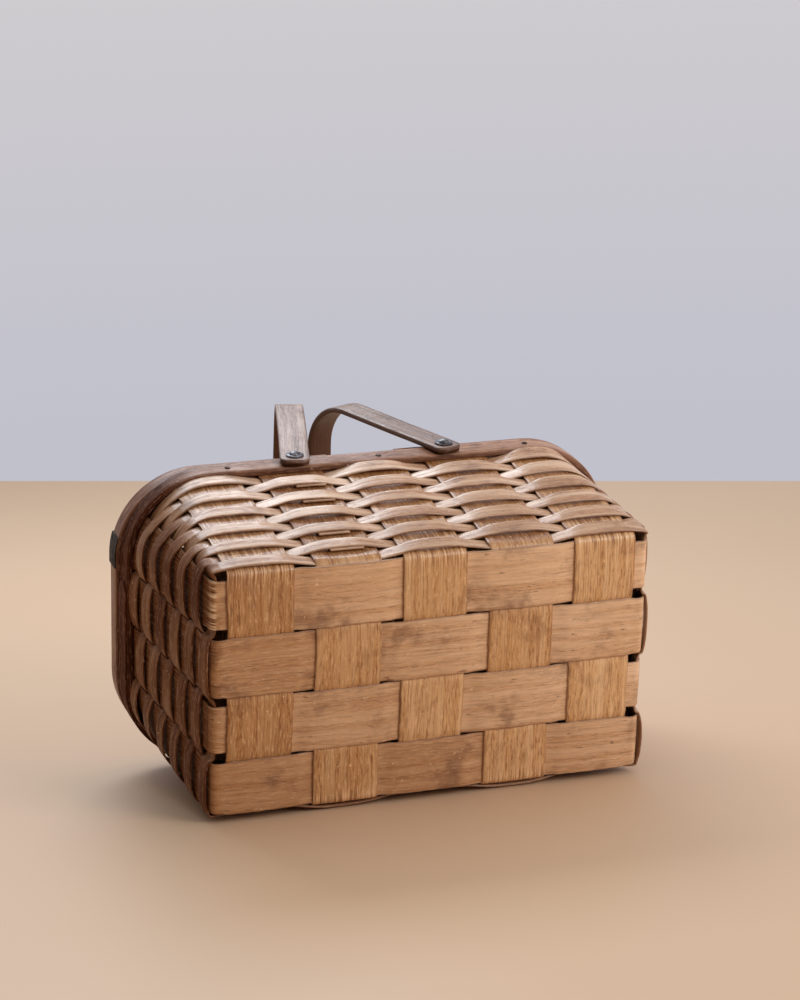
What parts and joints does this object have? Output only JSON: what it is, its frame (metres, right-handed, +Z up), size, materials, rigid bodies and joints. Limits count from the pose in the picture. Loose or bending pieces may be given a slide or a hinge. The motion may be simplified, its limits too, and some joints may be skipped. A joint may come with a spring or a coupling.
{
  "type": "picnic basket",
  "caption": "Woven splint picnic basket with swing handles and two hinged lid flaps, lying on its long side with the base in view.",
  "frame": {"origin": "middle of the basket's bounding box in plan, at the height of the surface that the basket lies on", "axes": "+X along the basket's length, to the right as pictured; +Y from the base towards the lid; +Z up, with the basket on its long side as pictured"},
  "size_m": [0.4228, 0.3558, 0.28],
  "materials": {
    "dark_splint": "satin",
    "base_splint": "satin",
    "weaver_splint": "satin",
    "bent_wood": "satin",
    "weathered_wood": "matte",
    "board_wood": "satin",
    "iron_nails": "matte",
    "dull_metal": "dull",
    "steel": "worn"
  },
  "bodies": {
    "basket": {"board_nails": "iron_nails", "cross_stake_1": "dark_splint", "cross_stake_2": "dark_splint", "cross_stake_3": "dark_splint", "cross_stake_4": "dark_splint", "cross_stake_5": "dark_splint", "handle_rivets": "steel", "handle_washers": "steel", "hinge_board_leaves": "steel", "hinge_pins": "steel", "long_stake_1": "base_splint", "long_stake_2": "base_splint", "long_stake_3": "base_splint", "long_stake_4": "base_splint", "middle_board": "board_wood", "rim_inner_hoop": "bent_wood", "rim_nails": "iron_nails", "rim_outer_hoop": "bent_wood", "weaver_01": "weaver_splint", "weaver_02": "weaver_splint", "weaver_03": "weaver_splint", "weaver_04": "weaver_splint", "weaver_05": "weaver_splint", "weaver_06": "weaver_splint", "weaver_07": "weaver_splint", "weaver_08": "weaver_splint", "weaver_09": "weaver_splint", "weaver_10": "weaver_splint", "weaver_11": "weaver_splint"},
    "left_handle": {"left_handle_strap": "weathered_wood"},
    "right_handle": {"right_handle_strap": "weathered_wood"},
    "left_lid": {"left_lid_bar": "board_wood", "left_lid_clip": "dull_metal", "left_lid_cross_splint_1": "dark_splint", "left_lid_cross_splint_2": "dark_splint", "left_lid_cross_splint_3": "dark_splint", "left_lid_hoop": "bent_wood", "left_lid_leaves": "steel", "left_lid_ledge": "board_wood", "left_lid_long_splint_1": "base_splint", "left_lid_long_splint_2": "base_splint", "left_lid_long_splint_3": "base_splint", "left_lid_long_splint_4": "base_splint", "left_lid_nails": "iron_nails"},
    "right_lid": {"right_lid_bar": "board_wood", "right_lid_cross_splint_1": "dark_splint", "right_lid_cross_splint_2": "dark_splint", "right_lid_cross_splint_3": "dark_splint", "right_lid_hoop": "bent_wood", "right_lid_leaves": "steel", "right_lid_ledge": "board_wood", "right_lid_long_splint_1": "base_splint", "right_lid_long_splint_2": "base_splint", "right_lid_long_splint_3": "base_splint", "right_lid_long_splint_4": "base_splint", "right_lid_nails": "iron_nails"}
  },
  "joints": [
    {"name": "left_handle_swing", "type": "hinge", "parent": "basket", "child": "left_handle", "pos_m": [-0.0636, 0.00414, 0.13239], "axis": [0, -0.1627, 0.9867], "range_deg": [0, 131.9]},
    {"name": "right_handle_swing", "type": "hinge", "parent": "basket", "child": "right_handle", "pos_m": [0.0644, 0.00414, 0.13239], "axis": [0, 0.1627, -0.9867], "range_deg": [0, 140.3]},
    {"name": "left_lid_hinge", "type": "hinge", "parent": "basket", "child": "left_lid", "pos_m": [-0.02835, 0.02318, 0.13553], "axis": [0, 0.1627, -0.9867], "range_deg": [0, 75]},
    {"name": "right_lid_hinge", "type": "hinge", "parent": "basket", "child": "right_lid", "pos_m": [0.02915, 0.02318, 0.13553], "axis": [0, -0.1627, 0.9867], "range_deg": [0, 82]}
  ]
}
